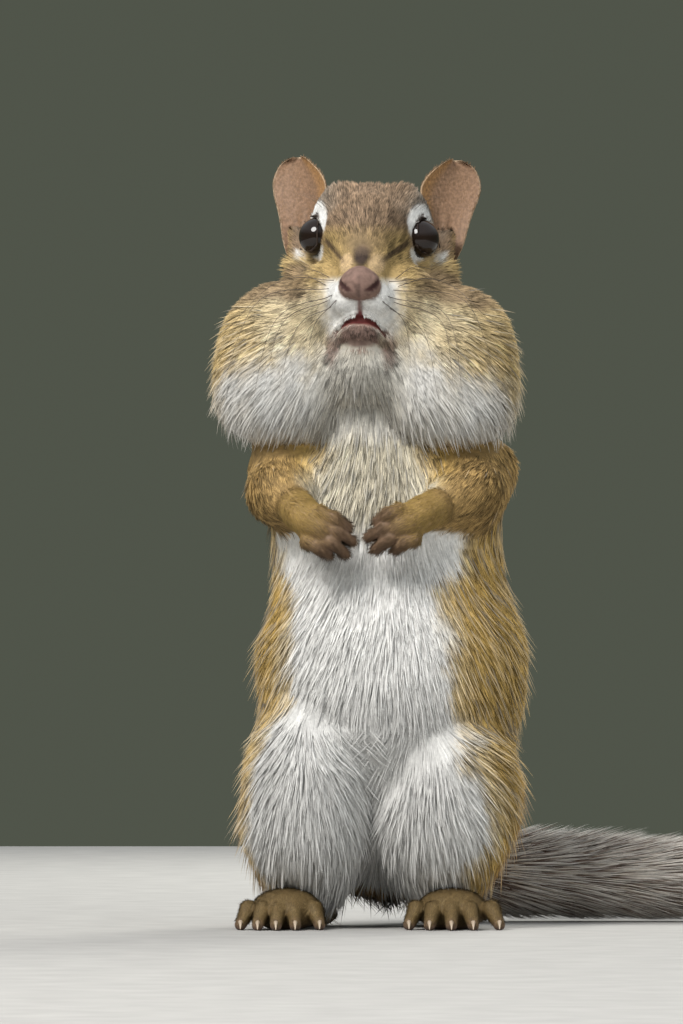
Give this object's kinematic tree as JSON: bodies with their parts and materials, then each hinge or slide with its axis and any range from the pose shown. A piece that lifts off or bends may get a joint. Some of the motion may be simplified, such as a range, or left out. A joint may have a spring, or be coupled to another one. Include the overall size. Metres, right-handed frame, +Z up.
{
  "type": "standing chipmunk",
  "caption": "Life-size chipmunk standing upright on its hind feet, with filled cheek pouches, forepaws held to the chest and a bushy tail laid out to one side.",
  "frame": {"origin": "on the floor, under the middle of the animal's bounding box", "axes": "+Z up, -Y the way the animal faces, +X its own left side, where the tail lies"},
  "size_m": [0.1292, 0.0802, 0.1548],
  "materials": {
    "coat": "short soft fur, ochre brown with darker and paler stripes",
    "pale_coat": "soft white to cream fur",
    "tail_coat": "long grizzled grey fur with pale tips",
    "bare_skin": "thin brownish pink skin with sparse hair",
    "paw": "short close hair over skin, with pale claws",
    "eye": "wet and black"
  },
  "bodies": {
    "root": {"head": "coat", "nose": "bare_skin", "cheek_pouch_right": "coat", "cheek_pouch_left": "coat", "ear_right": "bare_skin", "ear_left": "bare_skin", "eye_right": "eye", "eye_left": "eye", "neck": "pale_coat", "chest": "coat", "belly": "pale_coat", "rump": "coat", "upper_arm_right": "coat", "forearm_right": "coat", "forepaw_right": "paw", "upper_arm_left": "coat", "forearm_left": "coat", "forepaw_left": "paw", "thigh_right": "pale_coat", "shank_right": "pale_coat", "hindfoot_right": "paw", "thigh_left": "pale_coat", "shank_left": "pale_coat", "hindfoot_left": "paw", "tail_base": "tail_coat", "tail_middle": "tail_coat", "tail_tip": "tail_coat"}
  },
  "joints": []
}
